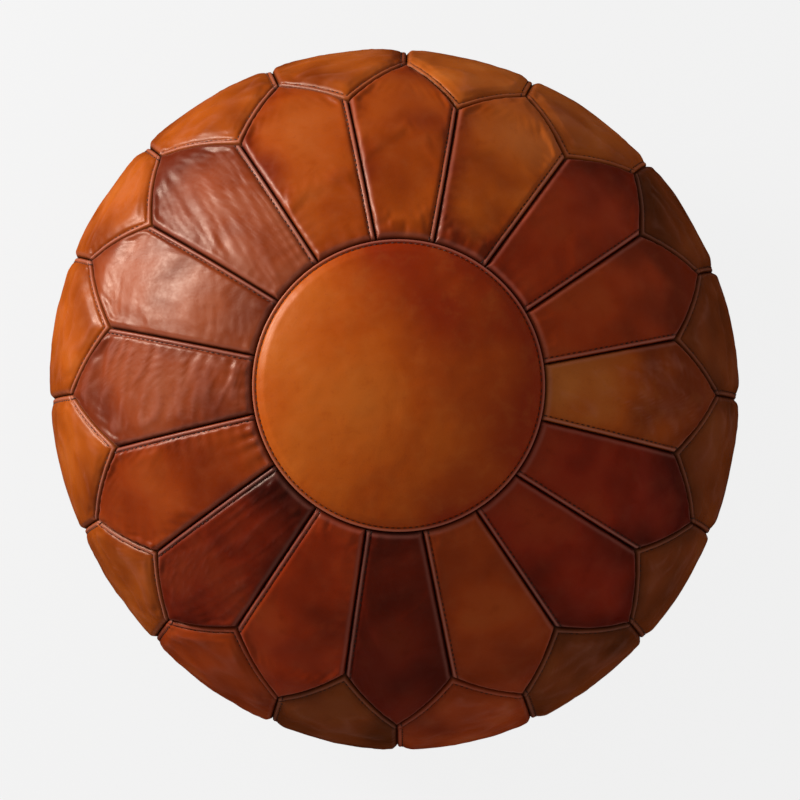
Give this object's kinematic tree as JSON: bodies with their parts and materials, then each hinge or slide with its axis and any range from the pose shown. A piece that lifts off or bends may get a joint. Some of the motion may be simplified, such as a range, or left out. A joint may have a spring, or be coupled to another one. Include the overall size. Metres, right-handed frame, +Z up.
{
  "type": "leather pouf",
  "caption": "Low round leather pouf sewn from petals around a centre disc over tall side panels, with a closed zip under the base.",
  "frame": {"origin": "on the floor, under the middle of the pouf", "axes": "+Z up; +Y along the zip, towards its closed end; +X to the right of the zip seen from above"},
  "size_m": [0.54, 0.54, 0.33],
  "materials": {
    "leather_caramel": "waxed caramel hide, soft sheen",
    "leather_tan": "waxed tan hide, soft sheen",
    "leather_rust": "waxed rust-brown hide, soft sheen",
    "leather_brown": "waxed red-brown hide, soft sheen",
    "leather_dark": "waxed dark brown hide, soft sheen",
    "thread": "waxed stitching thread",
    "zip_tape": "woven zip tape",
    "zip_metal": "aged brass",
    "stuffing": "packed wadding, not seen"
  },
  "bodies": {
    "cover": {"top_disc": "leather_caramel", "top_petal_01": "leather_brown", "top_petal_02": "leather_dark", "top_petal_03": "leather_tan", "top_petal_04": "leather_caramel", "top_petal_05": "leather_caramel", "top_petal_06": "leather_brown", "top_petal_07": "leather_brown", "top_petal_08": "leather_brown", "top_petal_09": "leather_rust", "top_petal_10": "leather_dark", "top_petal_11": "leather_rust", "top_petal_12": "leather_dark", "top_petal_13": "leather_rust", "top_petal_14": "leather_dark", "top_petal_15": "leather_dark", "top_petal_16": "leather_tan", "side_panel_01": "leather_brown", "side_panel_02": "leather_brown", "side_panel_03": "leather_tan", "side_panel_04": "leather_caramel", "side_panel_05": "leather_caramel", "side_panel_06": "leather_caramel", "side_panel_07": "leather_caramel", "side_panel_08": "leather_caramel", "side_panel_09": "leather_caramel", "side_panel_10": "leather_tan", "side_panel_11": "leather_rust", "side_panel_12": "leather_brown", "side_panel_13": "leather_tan", "side_panel_14": "leather_brown", "side_panel_15": "leather_brown", "side_panel_16": "leather_brown", "bottom_petal_01": "leather_dark", "bottom_petal_02": "leather_tan", "bottom_petal_03": "leather_brown", "bottom_petal_04": "leather_rust", "bottom_petal_05": "leather_dark", "bottom_petal_06": "leather_tan", "bottom_petal_07": "leather_brown", "bottom_petal_08": "leather_rust", "bottom_petal_09": "leather_dark", "bottom_petal_10": "leather_tan", "bottom_petal_11": "leather_brown", "bottom_petal_12": "leather_rust", "bottom_petal_13": "leather_dark", "bottom_petal_14": "leather_tan", "bottom_petal_15": "leather_brown", "bottom_petal_16": "leather_rust", "bottom_disc_left": "leather_tan", "bottom_disc_right": "leather_tan", "zip_tape_left": "zip_tape", "zip_tape_right": "zip_tape", "zip_teeth_left": "zip_metal", "zip_teeth_right": "zip_metal", "zip_stops": "zip_metal", "seam_thread": "thread", "stuffing": "stuffing"},
    "slider": {"zip_slider": "zip_metal"},
    "pull": {"zip_pull": "zip_metal"}
  },
  "joints": [
    {"name": "zip_travel", "type": "slide", "parent": "cover", "child": "slider", "axis": [0, -1, 0], "range_m": [0, 0.16], "deforming": ["zip_teeth_left", "zip_teeth_right"]},
    {"name": "pull_flip", "type": "hinge", "parent": "slider", "child": "pull", "pos_m": [0, 0.08, 0.0044], "axis": [1, 0, 0], "range_deg": [0, 175]}
  ]
}
